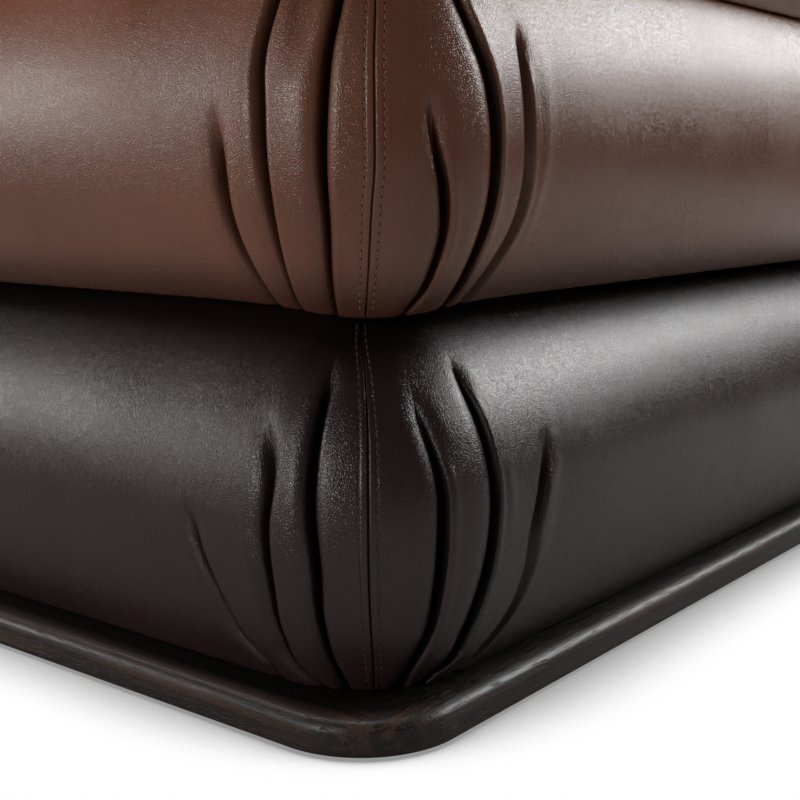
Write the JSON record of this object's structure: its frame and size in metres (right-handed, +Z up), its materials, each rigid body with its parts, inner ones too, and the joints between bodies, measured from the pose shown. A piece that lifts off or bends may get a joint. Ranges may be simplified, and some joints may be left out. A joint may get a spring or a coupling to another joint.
{
  "type": "upholstered armchair",
  "caption": "Low leather armchair of stacked pleated cushions, with two arms, a back and a loose back cushion, on a thin rounded wooden plinth.",
  "frame": {"origin": "middle of the chair's footprint on the floor", "axes": "+Z up, -Y to the front of the chair, +X to the right side of the pictured corner"},
  "size_m": [0.98, 0.94, 0.8003],
  "materials": {
    "stained_oak": "dark brown stain under a satin lacquer, rounded top edge",
    "birch_ply": "plain plywood",
    "beech": "planed, unfinished",
    "dark_leather": "dark brown full-grain leather with a soft sheen",
    "brown_leather": "mid brown full-grain leather with a soft sheen",
    "foam": "cut upholstery foam",
    "wadding": "white fibre wadding",
    "webbing": "woven elastic webbing",
    "zinc_steel": "zinc plated",
    "black_plastic": "moulded, matt",
    "zip_tape": "woven tape with a moulded chain",
    "zip_metal": "antique, worn"
  },
  "bodies": {
    "chair": {"plinth_rail_front": "stained_oak", "plinth_rail_back": "stained_oak", "plinth_rail_left": "stained_oak", "plinth_rail_right": "stained_oak", "plinth_tongues": "beech", "plinth_deck": "birch_ply", "deck_screws": "zinc_steel", "glides": "black_plastic", "glide_screws": "zinc_steel", "base_rail_front": "beech", "base_rail_back": "beech", "base_rail_left": "beech", "base_rail_right": "beech", "base_stretcher": "beech", "corner_blocks": "beech", "carcass_dowels": "beech", "lag_bolts": "zinc_steel", "lag_washers": "zinc_steel", "base_webbing": "webbing", "base_foam_slab": "foam", "base_foam_wall": "foam", "base_cover": "dark_leather", "seat_core_foam": "foam", "seat_topper": "wadding", "seat_cover": "brown_leather", "arm_posts": "beech", "back_posts": "beech", "post_bolts": "zinc_steel", "post_nuts": "zinc_steel", "arm_base_board_left": "beech", "arm_end_boards_left": "beech", "arm_top_board_left": "beech", "arm_foam_left": "foam", "arm_cover_left": "brown_leather", "arm_base_board_right": "beech", "arm_end_boards_right": "beech", "arm_top_board_right": "beech", "arm_foam_right": "foam", "arm_cover_right": "brown_leather", "back_bottom_rail": "beech", "back_end_boards": "beech", "back_top_rail": "beech", "back_webbing": "webbing", "back_foam": "foam", "back_cover": "brown_leather"},
    "loose_cushion": {"loose_cushion_fill": "wadding", "loose_cushion_cover": "brown_leather", "zip_tape": "zip_tape"},
    "zip_runner": {"zip_slider": "zip_metal"}
  },
  "joints": [
    {"name": "loose_cushion_lift", "type": "slide", "parent": "chair", "child": "loose_cushion", "axis": [0, 0, 1], "range_m": [0, 0.4]},
    {"name": "zip_slide", "type": "slide", "parent": "loose_cushion", "child": "zip_runner", "axis": [1, 0, 0], "range_m": [0, 0.37]}
  ]
}
